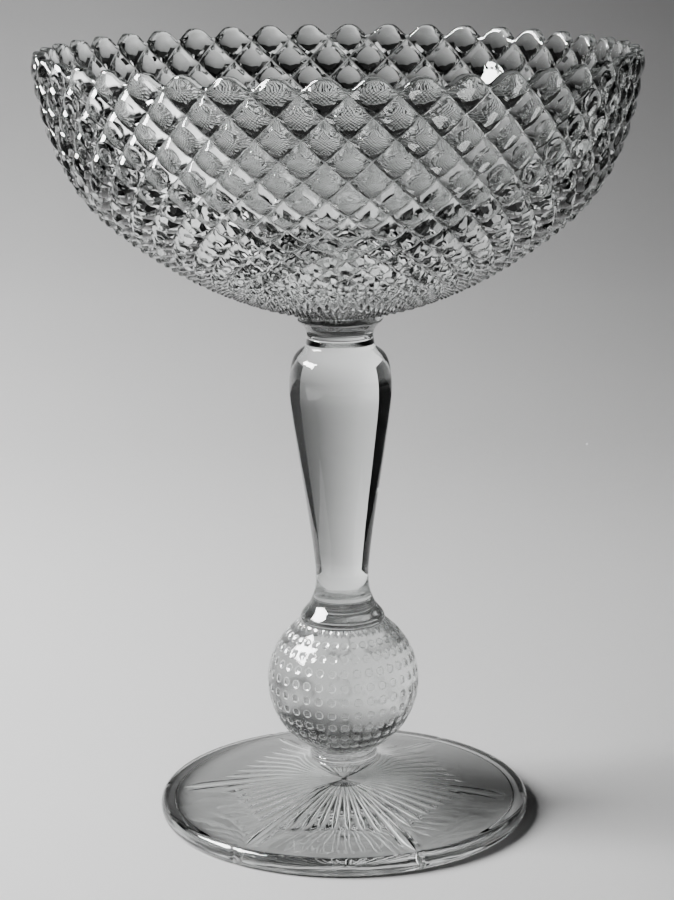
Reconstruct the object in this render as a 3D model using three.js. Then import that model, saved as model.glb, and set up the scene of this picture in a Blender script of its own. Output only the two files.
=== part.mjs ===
import * as THREE from "three";

// A tall footed bowl (compote) of clear pressed glass: a diamond-lattice bowl with a scalloped rim,
// fused by a wafer to a baluster stem, a flared collar, a dimpled ball knop, a ringed neck and a rayed foot.
// Millimetres, +Z up. The origin is the middle of the foot's resting plane, and -Y is the front.
// Azimuths are in degrees, from the front (-Y) toward +X.

// Foot
const footRadius = 60.8;
const footEdgeHeight = 6.2;
const footHeight = 17.7;
const footNeckRadius = 11.2;
const footShoulderRadius = 30;
const footShoulderHeight = 11.4;
const restRingOuterRadius = 58.2;
const restRingInnerRadius = 55;
const restRecess = 0.7;
const footHollow = 2.4;

// Rays pressed into the foot's underside, one long ray leading each sector
const raySectors = 6;
const shortRaysPerSector = 7;
const rayStartRadius = 7;
const longRayRadius = 53.5;
const shortRayRadius = 42.8;
const shortRayDip = 6.4;
const rayDepth = 1.5;
const longRayAzimuth = 24.5;

// Ringed neck between the foot and the ball
const footWaferHeight = 4.6;
const footWaferRingRadius = 11;
const footWaferGroove = 0.7;
const footWaferGrooveHeight = 2.5;

// Ball knop
const ballRadius = 24.8;
const ballSeatRadius = 10.4;
const dimplesAround = 36;
const dimpleRows = 11;
const dimpleRowPitch = 10.8;
const dimpleDepth = 0.6;
const dimpleAzimuth = 1.2;

// Flared collar
const collarHeight = 7.8;
const collarSkirtRadius = 13.8;
const collarSkirtHeight = 1.4;
const collarTopFlare = 0.6;

// Baluster stem
const stemHeight = 86.6;
const stemFootRadius = 9.9;
const stemWaistRadius = 8.6;
const stemWaistHeight = 7.6;
const stemBellyRadius = 16.5;
const stemBellyHeight = 68.8;
const stemShoulderHeight = 83.2;
const stemShoulderRadius = 11.5;
const stemNeckRadius = 10.6;
const stemNeckHeight = 85.8;

// Lengths of the upright handles that bend the baluster's outline
const waistHandle = 10.3;
const bellyLowHandle = 7.6;
const bellyHighHandle = 11.9;

// Wafer under the bowl
const bowlWaferHeight = 7.5;
const bowlWaferNeckHeight = 2.2;
const bowlWaferLipHeight = 1.5;

// Bowl outline, to the points of the diamonds
const bowlHeight = 83.3;
const bowlBaseRadius = 14;
const bowlBaseSlope = 0.2;
const bowlConeRadius = 72.5;
const bowlConeHeight = 29.8;
const bowlConeSlope = 0.85;
const bowlRimRadius = 95.4;
const bowlRimSlope = 12;
const bowlRimWall = 5.6;
const bowlBaseWall = 7;
const bowlLipRound = 0.6;

// Scalloped rim and diamond lattice
const scallopCount = 42;
const scallopRise = 3.7;
const scallopNotchPower = 3;
const scallopAzimuth = -2.43;
const diamondRelief = 1.9;
const diamondAspect = 0.97;
const latticeTopDrop = 5.2;
const latticeEndRadius = 16;

// Fineness of the facets
const turnedSides = 32;
const stepsPerScallop = 6;

// Heights of the seats, each on top of the piece below
const ballSink = Math.sqrt(ballRadius ** 2 - ballSeatRadius ** 2);
const ballRise = Math.sqrt(ballRadius ** 2 - collarSkirtRadius ** 2);
const footWaferSeat = footHeight;
const ballCentre = footWaferSeat + footWaferHeight + ballSink;
const collarSeat = ballCentre + ballRise;
const stemSeat = collarSeat + collarHeight;
const bowlWaferSeat = stemSeat + stemHeight;
const bowlSeat = bowlWaferSeat + bowlWaferHeight;

const clearGlass = () =>
  new THREE.MeshStandardMaterial({ color: 0xeef2f1, roughness: 0.03, metalness: 0 });

// A closed loop of points round the axis: place(k) gives [radius, height] for step k of the loop.
function loopOf(count, firstAzimuth, place) {
  return Array.from({ length: count }, (_, k) => {
    const [radius, height] = place(k);
    const azimuth = THREE.MathUtils.degToRad(firstAzimuth) + (2 * Math.PI * k) / count;
    return new THREE.Vector3(radius * Math.sin(azimuth), -radius * Math.cos(azimuth), height);
  });
}

const evenLoop = (count, firstAzimuth, radius, height) =>
  loopOf(count, firstAzimuth, () => [radius, height]);

// Two triangles between step k of loop a and of loop b; each diagonal runs along the crease.
function addQuad(faces, a, b, k, creaseFromA) {
  const next = (k + 1) % a.length;
  if (creaseFromA) faces.push([a[k], a[next], b[next]], [a[k], b[next], b[k]]);
  else faces.push([a[k], a[next], b[k]], [a[next], b[next], b[k]]);
}

// A fan from each step of the coarse loop to the finer loop beside it.
function addFans(faces, coarse, fine, fineIsAfter) {
  const ratio = fine.length / coarse.length;
  const half = Math.floor(ratio / 2);
  const push = (p, q, r) => faces.push(fineIsAfter ? [p, q, r] : [q, p, r]);
  coarse.forEach((point, k) => {
    const next = coarse[(k + 1) % coarse.length];
    const at = (step) => fine[(k * ratio + step) % fine.length];
    for (let step = 0; step < half; step += 1) push(point, at(step + 1), at(step));
    push(point, next, at(half));
    for (let step = half; step < ratio; step += 1) push(next, at(step + 1), at(step));
  });
}

// The closed skin over a row of loops, from the bottom middle outward and round to the top middle.
function skin(loops, bottomMiddle, topMiddle, creaseAt = () => true) {
  const faces = [];
  const first = loops[0];
  const last = loops[loops.length - 1];
  const low = new THREE.Vector3(0, 0, bottomMiddle);
  const high = new THREE.Vector3(0, 0, topMiddle);
  first.forEach((point, k) => faces.push([low, first[(k + 1) % first.length], point]));
  loops.slice(1).forEach((b, row) => {
    const a = loops[row];
    if (a.length < b.length) addFans(faces, a, b, true);
    else if (a.length > b.length) addFans(faces, b, a, false);
    else a.forEach((_, k) => addQuad(faces, a, b, k, creaseAt(row, k)));
  });
  last.forEach((point, k) => faces.push([point, last[(k + 1) % last.length], high]));
  return new THREE.BufferGeometry().setFromPoints(faces.flat());
}

// A turned solid from its outline, given from the bottom up as [radius, height] pairs.
function turned(outline) {
  const points = outline.map(([radius, height]) => new THREE.Vector2(radius, height));
  const bottom = new THREE.Vector2(0, outline[0][1]);
  const top = new THREE.Vector2(0, outline[outline.length - 1][1]);
  return new THREE.LatheGeometry([bottom, ...points, top], turnedSides).rotateX(Math.PI / 2);
}

const smoothThrough = (points, steps) =>
  new THREE.SplineCurve(points.map(([radius, height]) => new THREE.Vector2(radius, height)))
    .getPoints(steps)
    .map((point) => [point.x, point.y]);

// A cubic curve without its first point: two ends with their handles between, as [radius, height] pairs.
const cubic = (points, steps) =>
  new THREE.CubicBezierCurve(...points.map(([radius, height]) => new THREE.Vector2(radius, height)))
    .getPoints(steps)
    .slice(1)
    .map((point) => [point.x, point.y]);

// How far out ray number k reaches: the seven short rays of a sector dip toward their middle one.
function rayReach(k) {
  const place = k % (shortRaysPerSector + 1);
  if (place === 0) return longRayRadius;
  const fromMiddle = (2 * place) / (shortRaysPerSector + 1) - 1;
  return shortRayRadius - shortRayDip * (1 - fromMiddle ** 2);
}

// The foot: a shallow hollow underside with pressed rays, a flat rest ring, a rounded edge and a domed top.
function footGeometry() {
  const rays = raySectors * (shortRaysPerSector + 1);
  const hollowAt = (radius) => restRecess + footHollow * (1 - (radius / restRingInnerRadius) ** 2);
  const rayLoop = (share) =>
    loopOf(2 * rays, longRayAzimuth, (k) => {
      const onRay = k % 2 === 0;
      const reach = onRay ? rayReach(k / 2) : Math.min(rayReach((k - 1) / 2), rayReach((k + 1) / 2));
      const radius = THREE.MathUtils.lerp(rayStartRadius, reach, share);
      const leaf = Math.sin(Math.PI * share ** 1.3);
      return [radius, hollowAt(radius) + (onRay ? rayDepth * leaf : 0)];
    });
  const edge = [-90, -45, 0, 45, 90].map((angle) => {
    const turn = THREE.MathUtils.degToRad(angle);
    const bulge = footRadius - restRingOuterRadius;
    return [restRingOuterRadius + bulge * Math.cos(turn), (footEdgeHeight / 2) * (1 + Math.sin(turn))];
  });
  const dome = smoothThrough(
    [
      [restRingOuterRadius, footEdgeHeight],
      [footShoulderRadius, footShoulderHeight],
      [footNeckRadius, footHeight],
    ],
    4,
  ).slice(1);
  return skin(
    [
      ...[0, 0.3, 0.55, 0.8, 1].map(rayLoop),
      evenLoop(2 * rays, longRayAzimuth, restRingInnerRadius, restRecess),
      evenLoop(2 * rays, longRayAzimuth, restRingInnerRadius, 0),
      evenLoop(rays, longRayAzimuth, edge[0][0], edge[0][1]),
      ...edge.slice(1).map(([radius, height]) => evenLoop(rays, longRayAzimuth, radius, height)),
      ...dome.map(([radius, height]) => evenLoop(rays, longRayAzimuth, radius, height)),
    ],
    hollowAt(0),
    footHeight,
  );
}

// The ringed neck: two rounded rings with a groove between them.
function footWaferGeometry() {
  const grooveRadius = footWaferRingRadius - footWaferGroove;
  return turned([
    [footNeckRadius, 0],
    [footWaferRingRadius, footWaferGrooveHeight / 2],
    [grooveRadius, footWaferGrooveHeight],
    [footWaferRingRadius, (footWaferGrooveHeight + footWaferHeight) / 2],
    [ballSeatRadius, footWaferHeight],
  ]);
}

// The ball: rows of round dimples, cut off flat at its two seats.
function ballGeometry() {
  const columns = 2 * dimplesAround;
  const rows = 2 * dimpleRows + 1;
  const ballLoop = (_, row) =>
    loopOf(columns, dimpleAzimuth, (k) => {
      const latitude = THREE.MathUtils.degToRad((row - dimpleRows) * (dimpleRowPitch / 2));
      const dimpled = row % 2 === 1 && k % 2 === 0;
      const radius = ballRadius - (dimpled ? dimpleDepth : 0);
      return [radius * Math.cos(latitude), radius * Math.sin(latitude)];
    });
  const inside = (loop) => loop[0].z > -ballSink && loop[1].z < ballRise - dimpleDepth;
  return skin(
    [
      evenLoop(columns, dimpleAzimuth, ballSeatRadius, -ballSink),
      ...Array.from({ length: rows }, ballLoop).filter(inside),
      evenLoop(columns, dimpleAzimuth, collarSkirtRadius, ballRise),
    ],
    -ballSink,
    ballRise,
  );
}

// The collar: a skirt with a rounded hem that sweeps in to the foot of the stem.
function collarGeometry() {
  const sweep = new THREE.QuadraticBezierCurve(
    new THREE.Vector2(collarSkirtRadius, collarSkirtHeight),
    new THREE.Vector2(stemFootRadius + collarTopFlare, collarHeight / 2),
    new THREE.Vector2(stemFootRadius, collarHeight),
  ).getPoints(4);
  return turned([[collarSkirtRadius, 0], ...sweep.map((point) => [point.x, point.y])]);
}

// The baluster: a flared foot, a waist, a long taper to the belly, a round shoulder and a short neck.
function stemGeometry() {
  const foot = [stemFootRadius, 0];
  const waist = [stemWaistRadius, stemWaistHeight];
  const belly = [stemBellyRadius, stemBellyHeight];
  const shoulder = [stemShoulderRadius, stemShoulderHeight];
  const handle = ([radius, height], up) => [radius, height + up];
  const shoulderHandle = [(stemBellyRadius + stemShoulderRadius) / 2, stemBellyHeight + bellyHighHandle];
  return turned([
    foot,
    ...cubic([foot, handle(waist, -stemWaistHeight / 2), handle(waist, -stemWaistHeight / 4), waist], 3),
    ...cubic([waist, handle(waist, waistHandle), handle(belly, -bellyLowHandle), belly], 7),
    ...cubic([belly, handle(belly, bellyHighHandle), shoulderHandle, shoulder], 4),
    [stemNeckRadius, stemNeckHeight],
    [stemNeckRadius, stemHeight],
  ]);
}

// The wafer: a neck that flares up to the bowl's base.
function bowlWaferGeometry() {
  const flare = new THREE.QuadraticBezierCurve(
    new THREE.Vector2(stemNeckRadius, bowlWaferNeckHeight),
    new THREE.Vector2(stemNeckRadius, bowlWaferHeight - bowlWaferLipHeight),
    new THREE.Vector2(bowlBaseRadius, bowlWaferHeight),
  ).getPoints(3);
  return turned([[stemNeckRadius, 0], ...flare.map((point) => [point.x, point.y])]);
}

// The outline of the bowl as a path: a shallow cone from the base, then a steep wall up to the rim.
function bowlOutline() {
  // The corner where the straight lines from both ends of a stretch meet is its control point.
  const corner = (low, lowSlope, high, highSlope) => {
    const x = (high.y - low.y + lowSlope * low.x - highSlope * high.x) / (lowSlope - highSlope);
    return new THREE.Vector2(x, low.y + lowSlope * (x - low.x));
  };
  const base = new THREE.Vector2(bowlBaseRadius, 0);
  const cone = new THREE.Vector2(bowlConeRadius, bowlConeHeight);
  const rim = new THREE.Vector2(bowlRimRadius, bowlHeight);
  const low = corner(base, bowlBaseSlope, cone, bowlConeSlope);
  const high = corner(cone, bowlConeSlope, rim, bowlRimSlope);
  return new THREE.Path()
    .moveTo(base.x, base.y)
    .quadraticCurveTo(low.x, low.y, cone.x, cone.y)
    .quadraticCurveTo(high.x, high.y, rim.x, rim.y);
}

// The bowl: pyramids between crossing grooves outside, a scalloped rim and a smooth inside.
function bowlGeometry() {
  const outline = bowlOutline();
  const length = outline.getLength();
  const sides = 2 * scallopCount;

  // The point a given depth under the outline, at a given distance along it from the base.
  const under = (distance, depth) => {
    const point = outline.getPoint(distance / length);
    const along = outline.getTangent(distance / length);
    return [point.x - depth * along.y, point.y + depth * along.x];
  };
  const wallAt = (distance) => THREE.MathUtils.lerp(bowlBaseWall, bowlRimWall, distance / length);

  // Half rows of diamonds from the rim down, each as far apart as the diamonds there are wide.
  const stations = [];
  let station = length - latticeTopDrop;
  while (under(station, 0)[0] > latticeEndRadius) {
    stations.unshift(station);
    station -= (diamondAspect * Math.PI * under(station, 0)[0]) / scallopCount;
  }
  const rows = stations.length;
  const isPoint = (row, k) => (rows - 1 - row + k) % 2 === 0;
  const lattice = stations.map((distance, row) =>
    loopOf(sides, scallopAzimuth, (k) => {
      const relief = (diamondRelief * under(distance, 0)[0]) / bowlRimRadius;
      return under(distance, isPoint(row, k) ? 0 : relief);
    }),
  );

  // The rim is highest over each diamond and dips to a narrow, rounded notch between them.
  const rimLoop = (radius, drop) =>
    loopOf(scallopCount * stepsPerScallop, scallopAzimuth, (k) => {
      const dip = Math.abs(Math.sin((Math.PI * k) / stepsPerScallop)) ** scallopNotchPower;
      return [radius, bowlHeight - scallopRise * dip - drop];
    });
  const outerEdge = bowlRimRadius - bowlLipRound;
  const innerEdge = bowlRimRadius - bowlRimWall;

  const insideRows = 7;
  const insideTop = length - scallopRise - 2 * bowlLipRound;
  const inside = Array.from({ length: insideRows }, (_, row) => {
    const distance = insideTop * (1 - row / (insideRows - 1));
    const [radius, height] = under(distance, wallAt(distance));
    return evenLoop(scallopCount, scallopAzimuth, radius, height);
  });

  return skin(
    [
      evenLoop(sides, scallopAzimuth, bowlBaseRadius, 0),
      ...lattice,
      rimLoop(outerEdge, bowlLipRound),
      rimLoop((outerEdge + innerEdge) / 2, 0),
      rimLoop(innerEdge, bowlLipRound),
      ...inside,
    ],
    0,
    under(0, wallAt(0))[1],
    (row, k) => row === 0 || !isPoint(row - 1, k),
  );
}

function place(group, name, geometry, height) {
  const mesh = new THREE.Mesh(geometry, clearGlass());
  mesh.name = name;
  mesh.position.z = height;
  group.add(mesh);
}

const compote = new THREE.Group();
place(compote, "foot", footGeometry(), 0);
place(compote, "foot_wafer", footWaferGeometry(), footWaferSeat);
place(compote, "ball_knop", ballGeometry(), ballCentre);
place(compote, "flared_collar", collarGeometry(), collarSeat);
place(compote, "stem_baluster", stemGeometry(), stemSeat);
place(compote, "bowl_wafer", bowlWaferGeometry(), bowlWaferSeat);
place(compote, "bowl", bowlGeometry(), bowlSeat);

export default compote;
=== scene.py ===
import math
from bisect import bisect_left

import bmesh
import bpy
from mathutils import Matrix, Vector
from mathutils.geometry import interpolate_bezier


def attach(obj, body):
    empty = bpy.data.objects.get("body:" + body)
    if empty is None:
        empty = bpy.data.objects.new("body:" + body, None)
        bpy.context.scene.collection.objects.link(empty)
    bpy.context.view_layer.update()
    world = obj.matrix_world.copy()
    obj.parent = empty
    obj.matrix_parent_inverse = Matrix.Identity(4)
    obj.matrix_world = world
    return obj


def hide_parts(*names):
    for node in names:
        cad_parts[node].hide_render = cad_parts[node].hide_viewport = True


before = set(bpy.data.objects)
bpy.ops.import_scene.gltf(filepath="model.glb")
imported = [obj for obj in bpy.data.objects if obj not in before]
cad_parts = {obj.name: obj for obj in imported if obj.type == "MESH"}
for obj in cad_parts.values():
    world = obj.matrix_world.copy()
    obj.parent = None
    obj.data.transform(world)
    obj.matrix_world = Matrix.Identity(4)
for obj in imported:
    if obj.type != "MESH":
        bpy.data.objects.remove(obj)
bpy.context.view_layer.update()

# The pieces' sizes are in millimetres until a finished mesh goes to metres; the camera, stage and light
# are in metres. Azimuths run from the front (-Y) toward +X.


def hexToLinear(code):
    parts = [int(code[i:i + 2], 16) / 255 for i in (0, 2, 4)]
    return [p / 12.92 if p <= 0.04045 else ((p + 0.055) / 1.055) ** 2.4 for p in parts] + [1]


def addNode(tree, kind, settings=None, inputs=None):
    node = tree.nodes.new(kind)
    for name, value in (settings or {}).items():
        setattr(node, name, value)
    for name, value in (inputs or {}).items():
        if isinstance(value, bpy.types.NodeSocket):
            tree.links.new(value, node.inputs[name])
        else:
            node.inputs[name].default_value = value
    return node


def newMaterial(name):
    material = bpy.data.materials.new(name)
    material.use_nodes = True
    material.node_tree.nodes.clear()
    return material, material.node_tree


def smoothStep(low, high, value):
    t = min(max((value - low) / (high - low), 0), 1)
    return t * t * (3 - 2 * t)


def lerp(a, b, t):
    return a + (b - a) * t


def bezierLine(spans, parts):
    # a line of [radius, height] points along cubic spans that share their ends
    line = []
    for span in spans:
        a, b, c, d = [Vector((r, 0, z)) for r, z in span]
        line += [(p.x, p.z) for p in interpolate_bezier(a, b, c, d, parts + 1)[:-1]]
    return line + [spans[-1][-1]]


def curveThrough(points, steps):
    # a smooth line through [radius, height] points, with steps parts to each span
    points = [Vector((r, 0, z)) for r, z in points]
    line = []
    for i in range(len(points) - 1):
        a, b = points[i], points[i + 1]
        span = (b - a).length

        def pull(k):
            if k == 0 or k == len(points) - 1:
                return (b - a).normalized()
            before, after = points[k] - points[k - 1], points[k + 1] - points[k]
            mixed = before.normalized() * after.length + after.normalized() * before.length
            return mixed.normalized()

        line += interpolate_bezier(a, a + pull(i) * span / 3, b - pull(i + 1) * span / 3, b, steps + 1)[:-1]
    return [(p.x, p.z) for p in line + [points[-1]]]


def spinProfile(profile, steps, fromAzimuth=0, sectors=12):
    # turns an open [radius, height] line round the axis; a first or last radius of 0 closes the pole
    bm = bmesh.new()
    turn = Matrix.Rotation(math.radians(fromAzimuth), 3, "Z")
    rowLayer = bm.verts.layers.int.new("row")
    line = []
    for row, (r, z) in enumerate(profile):
        vert = bm.verts.new(turn @ Vector((0, -r, z)))
        vert[rowLayer] = row
        line.append(vert)
    edges = [bm.edges.new(pair) for pair in zip(line, line[1:])]
    axis = {"cent": (0, 0, 0), "axis": (0, 0, 1), "dvec": (0, 0, 0)}
    # one sector is spun, then the sector is copied round, which is far quicker than one long spin
    bmesh.ops.spin(bm, geom=line + edges, angle=2 * math.pi / sectors, steps=steps // sectors, **axis)
    sector = bm.verts[:] + bm.edges[:] + bm.faces[:]
    bmesh.ops.spin(bm, geom=sector, angle=2 * math.pi * (sectors - 1) / sectors, steps=sectors - 1,
                   use_duplicate=True, **axis)
    bmesh.ops.remove_doubles(bm, verts=bm.verts, dist=1e-3)
    return bm, rowLayer


def azimuthOf(point):
    return math.atan2(point.x, -point.y)


def around(radius, azimuth, height):
    return Vector((radius * math.sin(azimuth), -radius * math.cos(azimuth), height))


def sharpen(bm, degrees):
    limit = math.radians(degrees)
    for edge in bm.edges:
        if len(edge.link_faces) == 2 and edge.calc_face_angle() > limit:
            edge.smooth = False


def finishPiece(bm, name, node, materials):
    bmesh.ops.recalc_face_normals(bm, faces=bm.faces)
    for face in bm.faces:
        face.smooth = True
    bmesh.ops.scale(bm, vec=(0.001, 0.001, 0.001), verts=bm.verts)
    mesh = bpy.data.meshes.new(name)
    bm.to_mesh(mesh)
    bm.free()
    for material in materials:
        mesh.materials.append(material)
    piece = bpy.data.objects.new(name, mesh)
    bpy.context.scene.collection.objects.link(piece)
    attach(piece, "root")
    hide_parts(node)
    print(name, "faces", len(mesh.polygons), "triangles", sum(len(p.vertices) - 2 for p in mesh.polygons))


def markSeats(bm, heights):
    # the flat discs where two pieces are fused; the second material
    bm.normal_update()
    for face in bm.faces:
        z = face.calc_center_median().z
        if abs(face.normal.z) > 0.999 and any(abs(z - h) < 0.01 for h in heights):
            face.material_index = 1


camera = {
    "location": (0, -0.8041, 0.3214),
    "pitch": 76.09,
    "roll": -0.52,
    "lens": 102.87,
    "shiftX": -0.00453,
}
cameraData = bpy.data.cameras.new("camera")
cameraData.lens = camera["lens"]
cameraData.sensor_width = 36
cameraData.shift_x = camera["shiftX"]
cameraObject = bpy.data.objects.new("camera", cameraData)
cameraObject.matrix_world = (
    Matrix.Translation(camera["location"])
    @ Matrix.Rotation(math.radians(camera["pitch"]), 4, "X")
    @ Matrix.Rotation(math.radians(camera["roll"]), 4, "Z")
)
bpy.context.scene.collection.objects.link(cameraObject)
bpy.context.scene.camera = cameraObject
print("camera set")


glass = {
    "tint": "F6F8F7", "ior": 1.52,
    # patches of duller skin: their size in mm, and the noise values between which they come in
    "patchSize": 22, "patchRange": (0.4, 0.7),
    # waves: (size, depth) in mm of the uneven skin left by the mould and the fire polish
    # roughness: in the clearest and in the dullest patches
    # shadow: what a surface lets through of the lamp's light
    # tint: where set, a darker colour than the common glass, painted shade for a part that looks darker;
    # clear: the share of light that goes through
    "looks": {
        # the bowl is tinted a little darker than the common glass: painted shade
        "pressedGlassBowl": {
            "waves": [(11, 0.2), (3.0, 0.05), (1.2, 0.008)], "roughness": (0.0, 0.05),
            "shadow": "E6E6E6", "tint": "EEF0EF"},
        # the bowl's lower part, tinted darker than the rest of the bowl: painted shade
        "pressedGlassBowlBase": {
            "waves": [(11, 0.2), (3.0, 0.05), (1.2, 0.008)], "roughness": (0.0, 0.05),
            "shadow": "E6E6E6", "tint": "DADCDB"},
        # the rim's top edge, tinted dark: painted shade standing in for the light that leaves it sideways
        "pressedGlassRim": {
            "waves": [(11, 0.04)], "roughness": (0.0, 0.02), "shadow": "E6E6E6", "tint": "6E706F"},
        "pressedGlassStem": {
            "waves": [(18, 0.15), (5, 0.02)], "roughness": (0.0, 0.03), "shadow": "B0B0B0"},
        # the collar is tinted darker than the stem, though it is the same glass: painted shade
        "pressedGlassCollar": {
            "waves": [(9, 0.08), (3, 0.03)], "roughness": (0.0, 0.03), "shadow": "A0A0A0", "tint": "A6A8A7"},
        # the ball is tinted darker than the common glass: painted shade
        "pressedGlassBall": {
            "waves": [(8, 0.1), (2.2, 0.02)], "roughness": (0.08, 0.14),
            "shadow": "B0B0B0", "tint": "DFE1E0"},
        # a white, partly diffuse ring round each dimple's floor, which the lamp lights: painted highlight
        # standing in for light the dimple's edge sends out
        "dimpleRingPaintedHighlight": {
            "waves": [(2, 0.01)], "roughness": (0.2, 0.35), "shadow": "A0A0A0", "clear": 0.5},
        "pressedGlassFoot": {
            "waves": [(13, 0.1), (4, 0.02), (1.2, 0.003)], "roughness": (0.0, 0.05), "shadow": "F4F4F4"},
        "pressedGlassUnderFoot": {
            "waves": [(13, 0.1), (4, 0.02)], "roughness": (0.0, 0.05), "shadow": "B4B4B4"},
        # the foot's edge is tinted a little darker than the common glass: painted shade
        "pressedGlassFootEdge": {
            "waves": [(13, 0.15), (4, 0.02)], "roughness": (0.0, 0.04), "shadow": "4C4C4C", "tint": "E2E4E3"},
        # a white, partly diffuse strip along the edges of the rays, which the lamp lights: painted highlight
        # standing in for light the glass refracts there
        "rayOutlinePaintedHighlight": {
            "waves": [(4, 0.02), (0.5, 0.01)], "roughness": (0.3, 0.5), "shadow": "ECECEC", "clear": 0.3},
    },
}


def pressedGlass(name):
    # Clear soda-lime glass, pressed in a mould and fire polished: slow waves and a faint chill grain.
    look = glass["looks"][name]
    material, tree = newMaterial(name)
    place = addNode(tree, "ShaderNodeTexCoord").outputs["Object"]
    patchy = addNode(tree, "ShaderNodeTexNoise", inputs={
        "Vector": place, "Scale": 1000 / glass["patchSize"], "Detail": 3.0, "Roughness": 0.6})
    dull = addNode(tree, "ShaderNodeMapRange", inputs={
        "Value": patchy.outputs["Fac"],
        "From Min": glass["patchRange"][0], "From Max": glass["patchRange"][1],
        "To Min": look["roughness"][0], "To Max": look["roughness"][1]})
    shader = addNode(tree, "ShaderNodeBsdfPrincipled", inputs={
        "Base Color": hexToLinear(look.get("tint", glass["tint"])), "IOR": glass["ior"],
        "Transmission Weight": look.get("clear", 1.0), "Roughness": dull.outputs["Result"]})
    skin = None
    for size, depth in look["waves"]:
        wave = addNode(tree, "ShaderNodeTexNoise", inputs={
            "Vector": place, "Scale": 1000 / size, "Detail": 1.0, "Roughness": 0.4})
        bumped = {"Height": wave.outputs["Fac"], "Strength": 1.0, "Distance": depth / 1000}
        if skin:
            bumped["Normal"] = skin
        skin = addNode(tree, "ShaderNodeBump", inputs=bumped).outputs["Normal"]
    tree.links.new(skin, shader.inputs["Normal"])
    # The lamp shines through the glass, so that what stands behind it is lit.
    lampLight = addNode(tree, "ShaderNodeBsdfTransparent", inputs={"Color": hexToLinear(look["shadow"])})
    path = addNode(tree, "ShaderNodeLightPath")
    mix = addNode(tree, "ShaderNodeMixShader", inputs={
        0: path.outputs["Is Shadow Ray"], 1: shader.outputs["BSDF"], 2: lampLight.outputs["BSDF"]})
    addNode(tree, "ShaderNodeOutputMaterial", inputs={"Surface": mix.outputs["Shader"]})
    return material


def fusedSeat():
    # Where two glass pieces are fused there is no air between them, so light goes straight on.
    material, tree = newMaterial("fusedSeat")
    clear = addNode(tree, "ShaderNodeBsdfTransparent", inputs={"Color": (1, 1, 1, 1)})
    addNode(tree, "ShaderNodeOutputMaterial", inputs={"Surface": clear.outputs["BSDF"]})
    return material


bowlGlass = pressedGlass("pressedGlassBowl")
rimGlass = pressedGlass("pressedGlassRim")
bowlBaseGlass = pressedGlass("pressedGlassBowlBase")
stemGlass = pressedGlass("pressedGlassStem")
collarGlass = pressedGlass("pressedGlassCollar")
ballGlass = pressedGlass("pressedGlassBall")
dimpleWall = pressedGlass("dimpleRingPaintedHighlight")
footGlass = pressedGlass("pressedGlassFoot")
footEdgeGlass = pressedGlass("pressedGlassFootEdge")
underFootGlass = pressedGlass("pressedGlassUnderFoot")
rayOutline = pressedGlass("rayOutlinePaintedHighlight")
seatGlass = fusedSeat()
print("glass made")


foot = {
    "radius": 60.8, "edgeHeight": 6.2, "height": 17.7,
    "edgePower": 0.8,  # below 1, the edge's round is fuller than half an ellipse
    # [radius, height] points of the top, from the edge in to the neck
    "top": [(44, 8.9), (30, 11.4), (19, 14.2), (14, 16.2), (11.2, 17.7)],
    "ringOuter": 58.2, "ringInner": 55, "recess": 0.7, "hollow": 2.4,
    # from the recess down to the flat of the rest ring, as [step outward, height]
    "ringRound": [(0.25, 0.2), (0.5, 0.03), (0.8, 0)], "ringFlatEnd": 0.6,
    # radii of the rows of points under the foot
    "underRows": [0.8, 1.8, 3] + [4.5 + 0.9 * i for i in range(56)],
    "sectors": 6, "shortRays": 7, "rayStart": 1.8, "longReach": 53.5, "shortReach": 42.8, "dip": 6.4,
    "rayDepth": 1.3, "rayRound": 1.3, "landCrown": 0.08, "longAzimuth": 24.5, "columnsPerRay": 12,
    # a leaf's width near the middle and further out, the radii between which it changes, a long ray's factor
    "leafWidth": (1.6, 0.95), "leafChange": (8, 30), "longWider": 1.25,
    # lengths of the round tips, the width left beyond them, and how far beyond them the columns even out
    "shortTip": 6, "longTip": 9, "tipLeft": 0.03, "evenOut": 5,
    # the depth grows outward over this length, from this share at the start
    "rayFade": 12, "rayFadeFrom": 0.12,
    "seamDepth": 0.5, "seamWidth": 1.0, "seamFade": 1.5, "sharpAngle": 24,
    # how far out the points across half a leaf lie; the last strip is the leaf's white outline, a painted
    # highlight
    "lanes": (0, 0.35, 0.7, 1), "outlineFrom": 6,
}


def hollowAt(r):
    return foot["recess"] + foot["hollow"] * (1 - min(r / foot["ringInner"], 1) ** 2)


def rayReach(k):
    place = k % (foot["shortRays"] + 1)
    if place == 0:
        return foot["longReach"]
    fromMiddle = 2 * place / (foot["shortRays"] + 1) - 1
    return foot["shortReach"] - foot["dip"] * (1 - fromMiddle ** 2)


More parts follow.
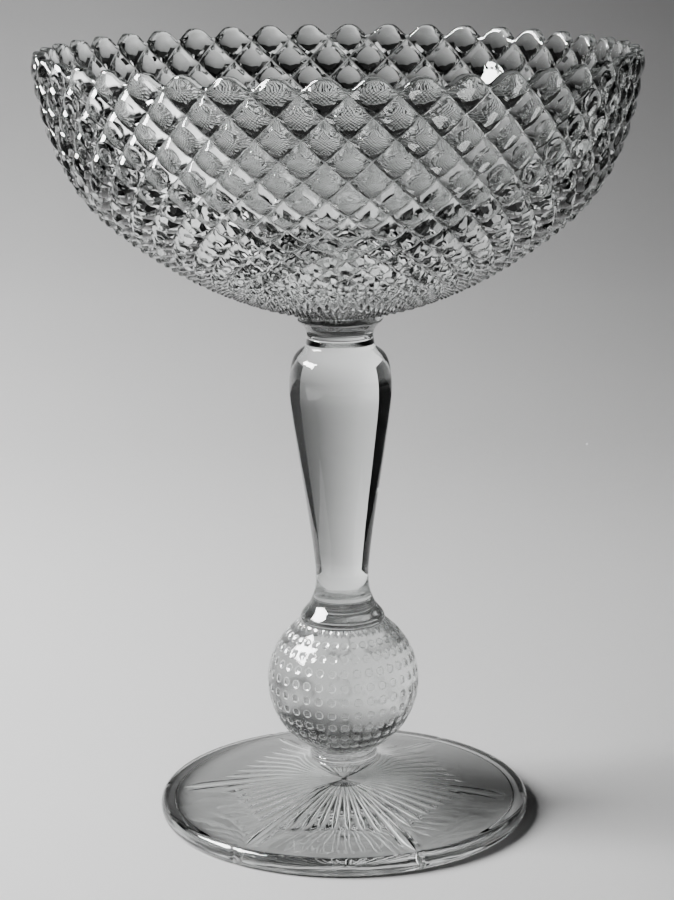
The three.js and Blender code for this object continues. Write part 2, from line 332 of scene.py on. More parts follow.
def buildFoot():
    perSector = foot["shortRays"] + 1
    rays = foot["sectors"] * perSector
    half = foot["columnsPerRay"] // 2
    ringIn, ringOut = foot["ringInner"], foot["ringOuter"]
    under = [(r, hollowAt(r)) for r in [0] + foot["underRows"]]
    ring = [(ringIn, hollowAt(ringIn))] + [(ringIn + outward, z) for outward, z in foot["ringRound"]]
    ring.append((ringOut - foot["ringFlatEnd"], 0))
    bulge = foot["radius"] - ringOut
    edge = []
    for i in range(13):
        turn = math.radians(-90 + 15 * i)
        out = bulge * math.cos(turn) ** foot["edgePower"] if abs(math.cos(turn)) > 1e-6 else 0
        edge.append((ringOut + out, foot["edgeHeight"] / 2 * (1 + math.sin(turn))))
    top = curveThrough([(ringOut, foot["edgeHeight"])] + foot["top"], 7)[1:]
    profile = under + ring + edge + top + [(0, foot["height"])]
    bm, rowLayer = spinProfile(profile, rays * foot["columnsPerRay"], foot["longAzimuth"])
    bm.verts.ensure_lookup_table()
    rayStep = 2 * math.pi / rays
    start = math.radians(foot["longAzimuth"])
    laneLayer = bm.verts.layers.int.new("lane")
    for vert in bm.verts:
        r = vert.co.xy.length
        if r < 0.5:
            continue
        turned = (azimuthOf(vert.co) - start) / rayStep
        k = round(turned)
        column = (turned - k) * foot["columnsPerRay"]
        fromLong = abs((k % perSector + turned - k + perSector / 2) % perSector - perSector / 2)
        if vert[rowLayer] < len(under):
            reach, isLong = rayReach(k), k % perSector == 0
            begin = foot["rayStart"]
            # each ray is a leaf: it widens outward and closes in a round tip
            across = half / 2 * (foot["longWider"] if isLong else 1.0)
            across *= lerp(*foot["leafWidth"], smoothStep(*foot["leafChange"], r))
            tipLength = foot["longTip"] if isLong else foot["shortTip"]
            tip = smoothStep(0, tipLength, reach - r) ** 0.5 if r < reach else foot["tipLeft"]
            tip = max(tip, smoothStep(reach, reach + foot["evenOut"], r), foot["tipLeft"])
            leaf = across * tip
            size = abs(column)
            lane = round(size)
            vert[laneLayer] = lane if foot["outlineFrom"] < r < reach + 0.5 else 9
            share = foot["lanes"][lane] if lane < 4 else 1
            if size < half / 2 + 0.5:
                moved = leaf * share
            else:
                moved = lerp(leaf, half, (size - half / 2) / (half / 2))
            angle = start + (k + math.copysign(moved, column) / foot["columnsPerRay"]) * rayStep
            z = hollowAt(r)
            if begin < r < reach:
                fade = min(1, (r - begin) / foot["rayFade"] + foot["rayFadeFrom"]) * min(tip, 1)
                if size < half / 2 + 0.5:
                    z += foot["rayDepth"] * fade * (1 - share ** foot["rayRound"])
                else:
                    # the land between two rays is a little crowned
                    z -= foot["landCrown"] * fade * (1 - ((half - size) / (half / 2)) ** 2)
            vert.co = around(r, angle, z)
        elif r > ringOut - 1 and vert.co.z < foot["edgeHeight"] + 0.4:
            # the mould's joints leave a small notch across the edge
            away = fromLong * rayStep * r
            notch = foot["seamDepth"] * math.exp(-(away / foot["seamWidth"]) ** 2)
            notch *= smoothStep(0, foot["seamFade"], vert.co.z)
            vert.co = around(r - notch, azimuthOf(vert.co), vert.co.z)
    markSeats(bm, [foot["height"]])
    for face in bm.faces:
        middle = face.calc_center_median()
        lastRow = max(v[rowLayer] for v in face.verts)
        if middle.xy.length > ringOut - foot["ringFlatEnd"] and middle.z < foot["edgeHeight"] + 0.1:
            face.material_index = 2
        # the outline strip of a leaf takes the white ray outline: painted highlight
        elif {v[laneLayer] for v in face.verts} == {2, 3} and lastRow < len(under):
            face.material_index = 3
        elif lastRow < len(under) + 2:
            face.material_index = 4
    sharpen(bm, foot["sharpAngle"])
    glasses = [footGlass, seatGlass, footEdgeGlass, rayOutline, underFootGlass]
    finishPiece(bm, "rayedFoot", "foot", glasses)


buildFoot()


stemPieces = {
    # name: (node, parts to a span, cubic spans from the bottom up as [radius, height])
    "ringedNeck": ("foot_wafer", 5, [
        [(11.2, 17.7), (10.7, 17.8), (10.45, 18.0), (10.45, 18.3)],
        [(10.45, 18.3), (10.8, 18.3), (11.15, 18.8), (11.15, 19.5)],
        [(11.15, 19.5), (11.15, 20.1), (10.9, 20.5), (10.2, 20.6)],
        [(10.2, 20.6), (10.2, 20.75), (10.25, 20.9), (10.4, 20.95)],
        [(10.4, 20.95), (10.75, 21.1), (10.75, 22.1), (10.4, 22.3)]]),
    "flaredCollar": ("flared_collar", 12, [
        [(13.8, 65.42), (13.9, 65.8), (13.9, 66.6), (13.6, 67.4)],
        [(13.6, 67.4), (13.0, 69.0), (10.9, 70.4), (10.3, 72.2)],
        [(10.3, 72.2), (10.2, 72.5), (10.0, 72.9), (9.9, 73.22)]]),
    "balusterStem": ("stem_baluster", 26, [
        [(9.9, 73.22), (9.4, 74.4), (8.6, 76.4), (8.6, 80.78)],
        [(8.6, 80.78), (8.6, 91.05), (16.48, 134.42), (16.48, 142.06)],
        [(16.48, 142.06), (16.48, 154.0), (14.05, 154.27), (11.48, 156.4)],
        [(11.48, 156.4), (11.0, 156.8), (10.85, 158.2), (10.75, 159.4)],
        [(10.75, 159.4), (10.7, 159.6), (10.5, 159.75), (10.4, 159.82)]]),
    "bowlWafer": ("bowl_wafer", 10, [
        [(10.4, 159.82), (10.5, 159.9), (10.65, 160.0), (10.7, 160.2)],
        [(10.7, 160.2), (10.7, 162.4), (12.2, 163.8), (13.4, 164.8)],
        [(13.4, 164.8), (13.9, 165.3), (14.0, 166.3), (14.0, 167.32)]]),
}


def buildTurned(name, steps=144, sharpAngle=40):
    node, parts, spans = stemPieces[name]
    line = bezierLine(spans, parts)
    bm = spinProfile([(0, line[0][1])] + line + [(0, line[-1][1])], steps)[0]
    markSeats(bm, [line[0][1], line[-1][1]])
    sharpen(bm, sharpAngle)
    # the collar takes its darker tint, painted shade
    body = collarGlass if name == "flaredCollar" else stemGlass
    finishPiece(bm, name, node, [body, seatGlass])


for pieceName in stemPieces:
    buildTurned(pieceName)


ball = {
    "radius": 24.8, "centre": 44.814, "lowSeat": 10.4, "highSeat": 13.8,
    "around": 36, "rows": 11, "pitch": 10.8, "azimuth": 1.2,
    "dimpleRadius": 1.45, "dimpleFloor": 0.75, "dimpleDepth": 0.42, "grid": 10,
    # a dimple is at most this share of its column wide; toward the seats it fades over these degrees
    "mostWide": 0.46, "fade": 2.2, "seatMargin": 0.4,
    # points this far out, as shares of a dimple's radius, move onto its floor's edge or its rim
    "ontoFloor": (0.52, 0.86), "ontoRim": (0.86, 1.16), "sharpAngle": 19,
}


def buildBall():
    radius, grid = ball["radius"], ball["grid"]
    low = -math.degrees(math.acos(ball["lowSeat"] / radius))
    high = math.degrees(math.acos(ball["highSeat"] / radius))
    step, margin = ball["pitch"] / grid, ball["seatMargin"]
    latitudes = [low] + [i * step for i in range(-80, 80) if low + margin < i * step < high - margin] + [high]
    line = [(radius * math.cos(math.radians(a)), ball["centre"] + radius * math.sin(math.radians(a)))
            for a in latitudes]
    profile = [(0, line[0][1])] + line + [(0, line[-1][1])]
    bm, rowLayer = spinProfile(profile, ball["around"] * grid, ball["azimuth"])
    columnStep = 2 * math.pi / ball["around"]
    most = (ball["rows"] - 1) // 2
    ringLayer = bm.verts.layers.int.new("ring")
    for vert in bm.verts:
        row = vert[rowLayer]
        if not 1 < row < len(latitudes):
            continue
        latitude = latitudes[row - 1]
        azimuth = azimuthOf(vert.co)
        k = round((azimuth - math.radians(ball["azimuth"])) / columnStep)
        j = round(latitude / ball["pitch"])
        if abs(j) > most:
            continue
        middle = math.radians(ball["azimuth"]) + k * columnStep
        ringRadius = radius * math.cos(math.radians(j * ball["pitch"]))
        wide = min(ball["dimpleRadius"], ball["mostWide"] * columnStep * ringRadius)
        dx = (azimuth - middle) * radius * math.cos(math.radians(latitude))
        dy = math.radians(latitude - j * ball["pitch"]) * radius
        away = math.hypot(dx / wide, dy / ball["dimpleRadius"])
        # points near a dimple's rim or its floor's edge move onto it, so that both are clean rings
        floor = ball["dimpleFloor"]
        floorFrom, floorTo = ball["ontoFloor"]
        rimFrom, rimTo = ball["ontoRim"]
        ring = 1 if rimFrom < away < rimTo else floor if floorFrom < away <= floorTo else away
        dx, dy, away = dx * ring / max(away, 1e-6), dy * ring / max(away, 1e-6), ring
        vert[ringLayer] = 1 if away == floor else 2 if away == 1 else 0
        if away <= 1:
            fade = smoothStep(0, ball["fade"], high - latitude) * smoothStep(0, ball["fade"], latitude - low)
            r = radius - ball["dimpleDepth"] * (1 - away ** 2) * fade
            newLatitude = math.radians(j * ball["pitch"]) + dy / radius
            newAzimuth = middle + dx / (radius * math.cos(math.radians(latitude)))
            height = ball["centre"] + r * math.sin(newLatitude)
            vert.co = around(r * math.cos(newLatitude), newAzimuth, height)
    markSeats(bm, [line[0][1], line[-1][1]])
    # the ring between a dimple's floor and its rim takes the white dimple ring: painted highlight
    for face in bm.faces:
        if {v[ringLayer] for v in face.verts} == {1, 2}:
            face.material_index = 2
    sharpen(bm, ball["sharpAngle"])
    finishPiece(bm, "dimpledBall", "ball_knop", [ballGlass, seatGlass, dimpleWall])


buildBall()


bowl = {
    "seat": 167.324, "height": 83.3, "baseRadius": 14, "baseSlope": 0.2,
    "coneRadius": 72.5, "coneHeight": 29.8, "coneSlope": 0.85,
    "rimRadius": 95.4, "rimSlope": 12, "rimWall": 5.6, "baseWall": 7,
    "scallops": 42, "rise": 3.7, "azimuth": -2.43, "wavePower": 3, "outerRound": 1.1, "innerRound": 1.2,
    "aspect": 0.97, "topDrop": 5.2, "endRadius": 16, "cells": 5,
    # the rings of points inside a diamond's cap, as shares of it
    "capRings": (0.36, 0.7),
    # degrees round the lip from outside to inside; radians of it that take the rim's dark tint, painted shade
    "lipTurns": (0, 18, 36, 54, 72, 90, 91, 112, 135, 158, 180), "rimShade": (0.3, 2),
    "innerRows": (0.3, 0.65), "insideDrop": 3.2, "insideRows": 20, "outlineSteps": 400,
    # pairs: (soft cushions near the rim, sharp points below)
    "relief": (2.6, 2.6), "cap": (0.74, 0.15), "sag": (0.44, 0.08), "squareness": (4.2, 24),
    "softRows": 3, "sharpRows": 9, "grooveFlat": 0.22, "crossDip": 0.35, "crossFrom": 0.45,
    # the relief is lower at the notches and full at the second of these rows
    "notchRelief": 0.85, "notchRows": (-0.4, 1.2), "foldMargin": 0.12,
    "darkerBelow": 12,  # the height over the seat up to which the bowl takes its darker tint, painted shade
}


def bezierCorner(low, lowSlope, high, highSlope):
    x = (high.z - low.z + lowSlope * low.x - highSlope * high.x) / (lowSlope - highSlope)
    return Vector((x, 0, low.z + lowSlope * (x - low.x)))


def quadratic(a, c, b, steps):
    return interpolate_bezier(a, a.lerp(c, 2 / 3), b.lerp(c, 2 / 3), b, steps)


def bowlOutline():
    base = Vector((bowl["baseRadius"], 0, bowl["seat"]))
    cone = Vector((bowl["coneRadius"], 0, bowl["seat"] + bowl["coneHeight"]))
    rim = Vector((bowl["rimRadius"], 0, bowl["seat"] + bowl["height"]))
    low = bezierCorner(base, bowl["baseSlope"], cone, bowl["coneSlope"])
    high = bezierCorner(cone, bowl["coneSlope"], rim, bowl["rimSlope"])
    steps = bowl["outlineSteps"]
    points = quadratic(base, low, cone, steps)[:-1] + quadratic(cone, high, rim, steps)
    lengths = [0]
    for a, b in zip(points, points[1:]):
        lengths.append(lengths[-1] + (b - a).length)
    return points, lengths


outlinePoints, outlineLengths = bowlOutline()
outlineLength = outlineLengths[-1]


def underOutline(distance, depth):
    # the point a given depth under the bowl's outline, a given distance along it from the base
    i = min(max(bisect_left(outlineLengths, distance), 1), len(outlinePoints) - 1)
    a, b = outlinePoints[i - 1], outlinePoints[i]
    t = (distance - outlineLengths[i - 1]) / (outlineLengths[i] - outlineLengths[i - 1])
    along = (b - a).normalized()
    point = a.lerp(b, t)
    return point.x - depth * along.z, point.z + depth * along.x


def halfScallop(distance):
    return math.pi * underOutline(distance, 0)[0] / bowl["scallops"]


# half rows of diamonds from the notches down, each as far apart as half a diamond there is wide
stations = [outlineLength - bowl["topDrop"]]
while underOutline(stations[-1], 0)[0] > bowl["endRadius"]:
    stations.append(stations[-1] - bowl["aspect"] * halfScallop(stations[-1]))


def alongOutline(b):
    k = min(max(int(b), 0), len(stations) - 2)
    return lerp(stations[k], stations[k + 1], b - k)


def sharpness(b):
    return smoothStep(bowl["softRows"], bowl["sharpRows"], b)


def cushionShape(k):
    # a diamond's shape: its cap's share, where the groove's floor begins, the cap's corners and its sag
    sharp = sharpness(k)
    floorEdge = 1 - bowl["grooveFlat"] / halfScallop(stations[k]) * math.sqrt(2)
    return lerp(*bowl["cap"], sharp), floorEdge, lerp(*bowl["squareness"], sharp), lerp(*bowl["sag"], sharp)


shapes = [cushionShape(k) for k in range(len(stations))]


def inDiamond(a, b):
    # a counts half scallops round the rim, b half rows down from the notches
    middles = [2 * round(w / 2) for w in (a + b, a - b)]
    shape = shapes[min(max((middles[0] - middles[1]) // 2, 0), len(shapes) - 1)]
    return a + b - middles[0], a - b - middles[1], middles, shape


def ringOf(a, b):
    # 0 at a diamond's middle, the number of cells on its grooves
    x, y = inDiamond(a, b)[:2]
    return round(max(abs(x), abs(y)) * bowl["cells"])


def cushionPlace(a, b):
    # moves a grid point onto its diamond's rings: inside the cap, the cap's outline, the groove floor's edge
    x, y, middles, (cap, floorEdge, power, _) = inDiamond(a, b)
    ring = ringOf(a, b)
    if ring in (0, bowl["cells"]):
        return a, b
    size = (0, cap * bowl["capRings"][0], cap * bowl["capRings"][1], cap, floorEdge)[ring]
    x, y = [w * size * bowl["cells"] / ring for w in (x, y)]
    if ring < 4:
        rounding = size / (abs(x) ** power + abs(y) ** power) ** (1 / power)
        x, y = x * rounding, y * rounding
    return (middles[0] + x + middles[1] + y) / 2, (middles[0] + x - middles[1] - y) / 2


def cushionDepth(a, b):
    # a slightly sagging cap, then steep straight sides down to the groove's narrow floor
    x, y, _, (cap, floorEdge, power, sag) = inDiamond(a, b)
    radius = underOutline(alongOutline(b), 0)[0]
    relief = lerp(*bowl["relief"], sharpness(b)) * (radius / bowl["rimRadius"]) ** 0.5
    relief *= lerp(bowl["notchRelief"], 1, smoothStep(*bowl["notchRows"], b))
    far = max(abs(x), abs(y))
    # the grooves dip where they cross
    relief *= 1 + bowl["crossDip"] * smoothStep(bowl["crossFrom"], 1, min(abs(x), abs(y)))
    size = (abs(x) ** power + abs(y) ** power) ** (1 / power)
    if far >= floorEdge:
        return relief
    if size <= cap:
        return relief * sag * (size / cap) ** 2
    inner, outer = cap / size, floorEdge / far
    return relief * lerp(sag, 1, (1 - inner) / (outer - inner))


def rimEdge(a):
    # where the outside ends and the rim's rounding begins, along the outline
    wave = abs(math.sin(math.pi * a / 2)) ** bowl["wavePower"]
    return outlineLength - bowl["outerRound"] - bowl["rise"] * wave


def buildBowl():
    cells, length = bowl["cells"], outlineLength
    columns = 2 * bowl["scallops"] * cells
    rows = [("pole", 0), ("base", 0)]
    rows += [("lattice", i / cells) for i in range((len(stations) - 1) * cells, -cells, -1)]
    rows += [("lip", math.radians(turn)) for turn in bowl["lipTurns"]]
    insideTop = length - bowl["rise"] - bowl["outerRound"] - bowl["insideDrop"]
    rows += [("inner", share) for share in bowl["innerRows"]]
    insideRows = bowl["insideRows"]
    rows += [("inside", insideTop * (1 - i / insideRows)) for i in range(insideRows + 1)] + [("top pole", 0)]

    def wallAt(distance):
        return lerp(bowl["baseWall"], bowl["rimWall"], distance / length)

    def placeOf(row, a):
        # azimuth in half scallops, radius and height of a point of the skin
        kind, value = rows[row]
        edge = rimEdge(a)
        edgeDepth = cushionDepth(a, (stations[0] - edge) / (stations[0] - stations[1]))
        outerRound, innerRound = bowl["outerRound"], bowl["innerRound"]
        if kind == "pole":
            return a, 0, bowl["seat"]
        if kind == "base":
            return a, bowl["baseRadius"], bowl["seat"]
        if kind == "lattice":
            newA, newB = cushionPlace(a, value)
            distance = alongOutline(newB)
            if distance > rimEdge(newA) - bowl["foldMargin"]:
                # what would stand over the scallop's edge folds onto it
                return a, *underOutline(edge, edgeDepth)
            return newA, *underOutline(distance, cushionDepth(newA, newB))
        if kind == "lip" and value <= math.pi / 2:
            along = edge + outerRound * math.sin(value)
            return a, *underOutline(along, edgeDepth + outerRound * (1 - math.cos(value)))
        if kind == "lip":
            # the top is level although the wall leans out
            depth = bowl["rimWall"] - innerRound * (1 + math.cos(value))
            level = edge + outerRound - (depth - edgeDepth) / bowl["rimSlope"]
            return a, *underOutline(level - innerRound * (1 - math.sin(value)), depth)
        if kind == "inner":
            innerEdge = edge + outerRound - innerRound - (bowl["rimWall"] - edgeDepth) / bowl["rimSlope"]
            depth = lerp(bowl["rimWall"], wallAt(insideTop), value)
            return a, *underOutline(lerp(innerEdge, insideTop, value), depth)
        if kind == "inside":
            return a, *underOutline(value, wallAt(value))
        return a, 0, underOutline(0, wallAt(0))[1]

    bm, rowLayer = spinProfile([placeOf(row, 0.5)[1:] for row in range(len(rows))], columns, bowl["azimuth"])
    columnLayer = bm.verts.layers.int.new("column")
    start = math.radians(bowl["azimuth"])
    for vert in bm.verts:
        if vert.co.xy.length < 0.5:
            continue
        column = round((azimuthOf(vert.co) - start) / (2 * math.pi) * columns) % columns
        vert[columnLayer] = column
        newA, r, z = placeOf(vert[rowLayer], column / cells)
        vert.co = around(r, start + newA * math.pi / bowl["scallops"], z)

    # each quad of the lattice is split along the groove beside it
    latticeRows = [i for i, row in enumerate(rows) if row[0] == "lattice"]
    firstRow, lastRow = latticeRows[0], latticeRows[-1]
    outer = [f for f in bm.faces if all(firstRow <= v[rowLayer] <= lastRow for v in f.verts)]
    for face in outer:
        lowRow = min(v[rowLayer] for v in face.verts)
        cols = sorted({v[columnLayer] for v in face.verts})
        left = cols[0] if cols[1] - cols[0] == 1 else cols[1]
        corners = {(v[columnLayer] != left, v[rowLayer] != lowRow): v for v in face.verts}
        x, y = inDiamond((left + 0.5) / cells, rows[lowRow][1] - 0.5 / cells)[:2]
        # row numbers rise toward the rim while b falls, so a + b is steady from low left to high right
        if abs(x) > abs(y):
            pair = corners[(False, False)], corners[(True, True)]
        else:
            pair = corners[(True, False)], corners[(False, True)]
        bmesh.utils.face_split(face, *pair)

    for edge in bm.edges:
        if not all(firstRow <= v[rowLayer] <= lastRow for v in edge.verts):
            continue
        v, w = edge.verts
        ends = [(x[columnLayer] / cells, rows[x[rowLayer]][1]) for x in (v, w)]
        rings = [ringOf(*end) for end in ends]
        diagonal = v[columnLayer] != w[columnLayer] and v[rowLayer] != w[rowLayer]
        if diagonal and rings in ([3, 3], [4, 4]):
            edge.smooth = False
        elif not diagonal and min(rings) >= 3 and min(end[1] for end in ends) > bowl["softRows"] + 1:
            # ridges of the sharper lower diamonds
            inside = [inDiamond(*end)[:2] for end in ends]
            edge.smooth = not all(abs(abs(x) - abs(y)) < 1e-6 for x, y in inside)
    # the top of the lip takes the rim's dark tint: painted shade
    rimShadeFrom, rimShadeTo = bowl["rimShade"]
    for face in bm.faces:
        faceRows = [rows[v[rowLayer]] for v in face.verts]
        if all(kind == "lip" and rimShadeFrom < value < rimShadeTo for kind, value in faceRows):
            face.material_index = 2
        # the lower bowl takes the darker tint: painted shade
        elif face.calc_center_median().z < bowl["seat"] + bowl["darkerBelow"]:
            face.material_index = 3
    bmesh.ops.remove_doubles(bm, verts=bm.verts, dist=1e-3)
    markSeats(bm, [bowl["seat"]])
    finishPiece(bm, "diamondBowl", "bowl", [bowlGlass, seatGlass, rimGlass, bowlBaseGlass])


buildBowl()


stage = {
    "front": -9.0, "side": 9.0, "back": 3.0, "flatBelow": 0.0005,
    "coveStart": 0.5, "coveRadius": 0.45, "coveTop": 0.62,
    # painted shade of the paper, by half the way back plus three quarters of the way up, in metres
    "paintedShades": [(0, "EBEBEB"), (0.125, "E6E6E6"), (0.2, "DDDDDD"), (0.3, "CECECE"), (0.377, "B7B7B7"),
               (0.42, "ABABAB"), (0.49, "989898"), (0.56, "898989"), (0.615, "7B7B7B"), (0.68, "6A6A6A"),
               (0.8, "4A4A4A"), (0.92, "2A2A2A")],
    "behind": "CFCFCF",
    "climbUp": 0.75, "climbBack": 0.5,
    # the painted shade is scaled by 1 + x * (rightward + rightwardUp * climb), within the limits
    "rightward": -0.85, "rightwardUp": -1.15, "rightwardKept": (0.65, 1.25),
    # black cards that only the glass sees, each either mirrored by it or through it:
    # (low corner, high corner, mirrored)
    "cards": {
        "blackCardLeft": ((-0.164, -0.02, 0.02), (-0.16, 0.23, 0.17), False),
        "blackCardRight": ((0.16, -0.02, 0.02), (0.164, 0.2, 0.17), False),
        "blackCardAbove": ((-0.6, -0.06, 0.29), (0.6, 0.9, 0.294), False),
        "blackCardFront": ((-0.5, -0.8, 0.001), (0.5, -0.12, 0.003), True),
        "blackCardFloorLeft": ((-1.5, -0.12, 0.001), (-0.2, 1.0, 0.003), True),
        "blackCardFloorRight": ((0.2, -0.12, 0.001), (1.5, 1.0, 0.003), True),
    },
}


def paperSheet(name, line, material):
    # a sheet as wide as the stage along a line of [y, z] points, with its front up or toward -Y
    bm = bmesh.new()
    verts = [bm.verts.new((-stage["side"], y, z)) for y, z in line]
    edges = [bm.edges.new(pair) for pair in zip(verts, verts[1:])]
    made = bmesh.ops.extrude_edge_only(bm, edges=edges)["geom"]
    moved = [g for g in made if isinstance(g, bmesh.types.BMVert)]
    bmesh.ops.translate(bm, vec=(2 * stage["side"], 0, 0), verts=moved)
    bmesh.ops.recalc_face_normals(bm, faces=bm.faces)
    for face in bm.faces:
        face.smooth = True
        if face.normal.z < -0.1 or face.normal.y > 0.1:
            face.normal_flip()
    mesh = bpy.data.meshes.new(name)
    bm.to_mesh(mesh)
    bm.free()
    mesh.materials.append(material)
    sheet = bpy.data.objects.new(name, mesh)
    bpy.context.scene.collection.objects.link(sheet)


def mattPaper(name, raised):
    # Matt pale paper roll with a fine tooth. Its colour is painted darker away from the front and to the
    # right:
    # painted shade, as of a lamp feathered off it. The raised sheet has this painted shade; the flat one
    # behind it stays even.
    material, tree = newMaterial(name)
    place = addNode(tree, "ShaderNodeTexCoord").outputs["Object"]
    axes = addNode(tree, "ShaderNodeSeparateXYZ", inputs={"Vector": place}).outputs
    if raised:
        climb = addNode(tree, "ShaderNodeMath", {"operation": "MULTIPLY_ADD"}, {
            0: axes["Z"], 1: stage["climbUp"], 2: addNode(tree, "ShaderNodeMath", {"operation": "MULTIPLY"}, {
                0: axes["Y"], 1: stage["climbBack"]}).outputs["Value"]})
        # the paper's colour falls off with the climb and to the right: painted shade
        fall = addNode(tree, "ShaderNodeValToRGB", inputs={"Fac": climb.outputs["Value"]})
        ramp = fall.color_ramp
        ramp.interpolation = "B_SPLINE"
        ramp.elements.remove(ramp.elements[1])
        ramp.elements[0].position = 0.0
        ramp.elements[0].color = hexToLinear(stage["paintedShades"][0][1])
        for stop, shade in stage["paintedShades"][1:]:
            ramp.elements.new(stop).color = hexToLinear(shade)
        slope = addNode(tree, "ShaderNodeMath", {"operation": "MULTIPLY_ADD"}, {
            0: climb.outputs["Value"], 1: stage["rightwardUp"], 2: stage["rightward"]})
        sideways = addNode(tree, "ShaderNodeMath", {"operation": "MULTIPLY_ADD"}, {
            0: axes["X"], 1: slope.outputs["Value"], 2: 1.0})
        kept = addNode(tree, "ShaderNodeClamp", inputs={
            "Value": sideways.outputs["Value"],
            "Min": stage["rightwardKept"][0], "Max": stage["rightwardKept"][1]})
        colour = addNode(tree, "ShaderNodeVectorMath", {"operation": "SCALE"}, {
            0: fall.outputs["Color"], "Scale": kept.outputs["Result"]}).outputs["Vector"]
    else:
        colour = addNode(tree, "ShaderNodeRGB").outputs["Color"]
        colour.default_value = hexToLinear(stage["behind"])
    tooth = addNode(tree, "ShaderNodeTexNoise", inputs={"Vector": place, "Scale": 900, "Detail": 3.0})
    bump = addNode(tree, "ShaderNodeBump", inputs={
        "Height": tooth.outputs["Fac"], "Strength": 0.2, "Distance": 0.0002})
    shader = addNode(tree, "ShaderNodeBsdfPrincipled", inputs={
        "Base Color": colour, "Roughness": 0.95, "Specular IOR Level": 0.1,
        "Normal": bump.outputs["Normal"]})
    surface = shader.outputs["BSDF"]
    if raised:
        # the raised part doesn't hide the compote from behind, and it throws no shadow there
        behind = addNode(tree, "ShaderNodeNewGeometry").outputs["Backfacing"]
        shadow = addNode(tree, "ShaderNodeLightPath").outputs["Is Shadow Ray"]
        either = addNode(tree, "ShaderNodeMath", {"operation": "MAXIMUM"}, {0: behind, 1: shadow})
        clear = addNode(tree, "ShaderNodeBsdfTransparent")
        surface = addNode(tree, "ShaderNodeMixShader", inputs={
            0: either.outputs["Value"], 1: surface, 2: clear.outputs["BSDF"]}).outputs["Shader"]
    addNode(tree, "ShaderNodeOutputMaterial", inputs={"Surface": surface})
    return material


def blackCardStock():
    # Matt black card with a faint fibre.
    material, tree = newMaterial("blackCard")
    fibre = addNode(tree, "ShaderNodeTexNoise", inputs={
        "Vector": addNode(tree, "ShaderNodeTexCoord").outputs["Object"], "Scale": 400})
    shade = addNode(tree, "ShaderNodeMapRange", inputs={
        "Value": fibre.outputs["Fac"], "To Min": 0.004, "To Max": 0.012})
    shader = addNode(tree, "ShaderNodeBsdfPrincipled", inputs={
        "Base Color": shade.outputs["Result"], "Roughness": 0.9, "Specular IOR Level": 0.1})
    addNode(tree, "ShaderNodeOutputMaterial", inputs={"Surface": shader.outputs["BSDF"]})
    return material


def buildStage():
    start, radius = stage["coveStart"], stage["coveRadius"]
    cove = [(stage["front"], 0), (-1.0, 0), (0, 0), (start, 0)]
    for i in range(1, 25):
        turn = math.radians(90 * i / 24)
        cove.append((start + radius * math.sin(turn), radius * (1 - math.cos(turn))))
    paperSheet("paperCove", cove + [(start + radius, stage["coveTop"])], mattPaper("mattPaperCove", True))
    flat = [(y, -stage["flatBelow"]) for y in (start, 1.0, stage["back"])]
    paperSheet("paperBehind", flat, mattPaper("mattPaperFloor", False))
    # Black cards round the compote darken the edges of the glass; only the glass sees them.
    material = blackCardStock()
    for name, (low, high, mirrored) in stage["cards"].items():
        low, high = Vector(low), Vector(high)
        bm = bmesh.new()
        bmesh.ops.create_cube(bm, size=1)
        bmesh.ops.scale(bm, vec=high - low, verts=bm.verts)
        bmesh.ops.translate(bm, vec=(low + high) / 2, verts=bm.verts)
        mesh = bpy.data.meshes.new(name)
        bm.to_mesh(mesh)
        bm.free()
        mesh.materials.append(material)
        card = bpy.data.objects.new(name, mesh)
        card.visible_camera = card.visible_shadow = card.visible_diffuse = False
        card.visible_glossy, card.visible_transmission = mirrored, not mirrored
        bpy.context.scene.collection.objects.link(card)


buildStage()


light = {
    "toward": (-0.81, -0.02, 0.587), "distance": 1.2, "size": (0.72, 0.66), "watts": 36, "aim": (0, 0, 0.14),
    "cloth": (110, 140), "clothGap": 0.005,
    # the sky's strength at the horizon and above it, and the height of direction over which it changes
    "sky": (0.2, 0.008), "skyFade": 0.08,
}


def softboxCloth():
    # White woven cloth, lit from inside, a little uneven.
    material, tree = newMaterial("softboxCloth")
    weave = addNode(tree, "ShaderNodeTexNoise", inputs={
        "Vector": addNode(tree, "ShaderNodeTexCoord").outputs["Object"], "Scale": 6})
    glow = addNode(tree, "ShaderNodeMapRange", inputs={
        "Value": weave.outputs["Fac"], "To Min": light["cloth"][0], "To Max": light["cloth"][1]})
    shader = addNode(tree, "ShaderNodeEmission", inputs={"Strength": glow.outputs["Result"]})
    addNode(tree, "ShaderNodeOutputMaterial", inputs={"Surface": shader.outputs["Emission"]})
    return material


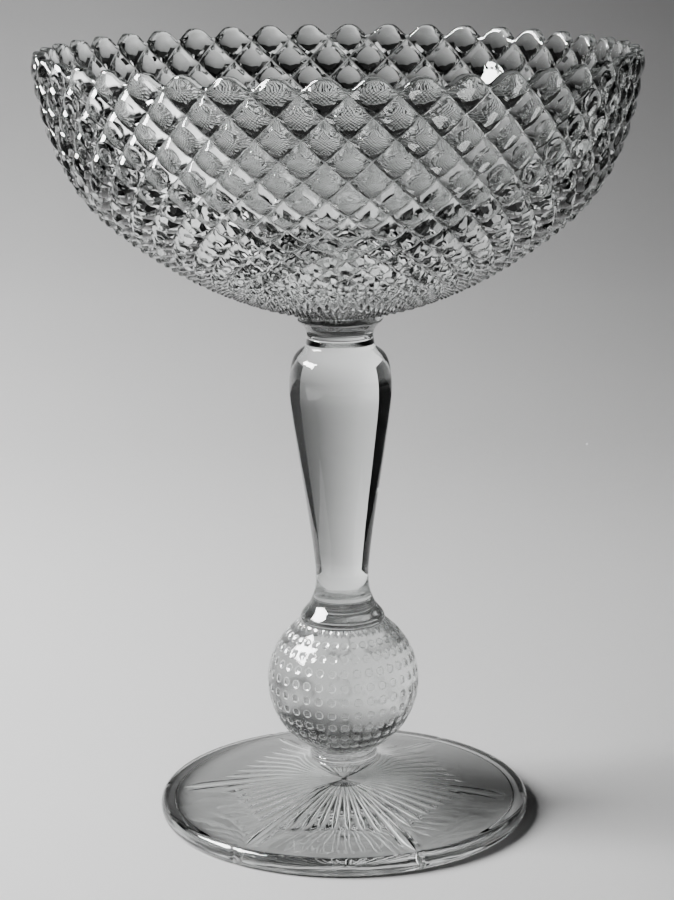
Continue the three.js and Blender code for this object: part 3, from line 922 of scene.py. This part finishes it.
def buildLight():
    data = bpy.data.lights.new("softbox", "AREA")
    data.shape = "RECTANGLE"
    data.size, data.size_y = light["size"]
    data.energy = light["watts"]
    lamp = bpy.data.objects.new("softbox", data)
    toward = Vector(light["toward"]).normalized()
    lamp.location = Vector(light["aim"]) + toward * light["distance"]
    lamp.rotation_euler = toward.to_track_quat("Z", "Y").to_euler()
    lamp.visible_camera = False
    bpy.context.scene.collection.objects.link(lamp)
    # Its front cloth, which only the glass sees: the highlights are brighter than the paper.
    bm = bmesh.new()
    bmesh.ops.create_grid(bm, x_segments=1, y_segments=1, size=0.5)
    bmesh.ops.scale(bm, vec=(data.size, data.size_y, 1), verts=bm.verts)
    bmesh.ops.transform(bm, matrix=Matrix.LocRotScale(
        lamp.location - toward * light["clothGap"], lamp.rotation_euler, None), verts=bm.verts)
    mesh = bpy.data.meshes.new("softboxCloth")
    bm.to_mesh(mesh)
    bm.free()
    mesh.materials.append(softboxCloth())
    cloth = bpy.data.objects.new("softboxCloth", mesh)
    cloth.visible_camera = cloth.visible_shadow = cloth.visible_diffuse = False
    bpy.context.scene.collection.objects.link(cloth)


buildLight()


def buildWorld():
    # A dim studio: pale only near the horizon, dark above it.
    world = bpy.data.worlds.new("dimStudio")
    world.use_nodes = True
    tree = world.node_tree
    tree.nodes.clear()
    direction = addNode(tree, "ShaderNodeTexCoord").outputs["Generated"]
    height = addNode(tree, "ShaderNodeSeparateXYZ", inputs={"Vector": direction}).outputs["Z"]
    fall = addNode(tree, "ShaderNodeMapRange", {"interpolation_type": "SMOOTHSTEP"}, {
        "Value": height, "From Min": 0.0, "From Max": light["skyFade"],
        "To Min": light["sky"][0], "To Max": light["sky"][1]})
    back = addNode(tree, "ShaderNodeBackground", inputs={
        "Color": (1, 1, 1, 1), "Strength": fall.outputs["Result"]})
    addNode(tree, "ShaderNodeOutputWorld", inputs={"Surface": back.outputs["Background"]})
    bpy.context.scene.world = world


buildWorld()
bpy.context.scene.cycles.caustics_refractive = False
bpy.context.scene.cycles.caustics_reflective = False
bpy.context.scene.cycles.max_bounces = 24
bpy.context.scene.cycles.transmission_bounces = 24
bpy.context.scene.cycles.transparent_max_bounces = 32
print("stage and light set")
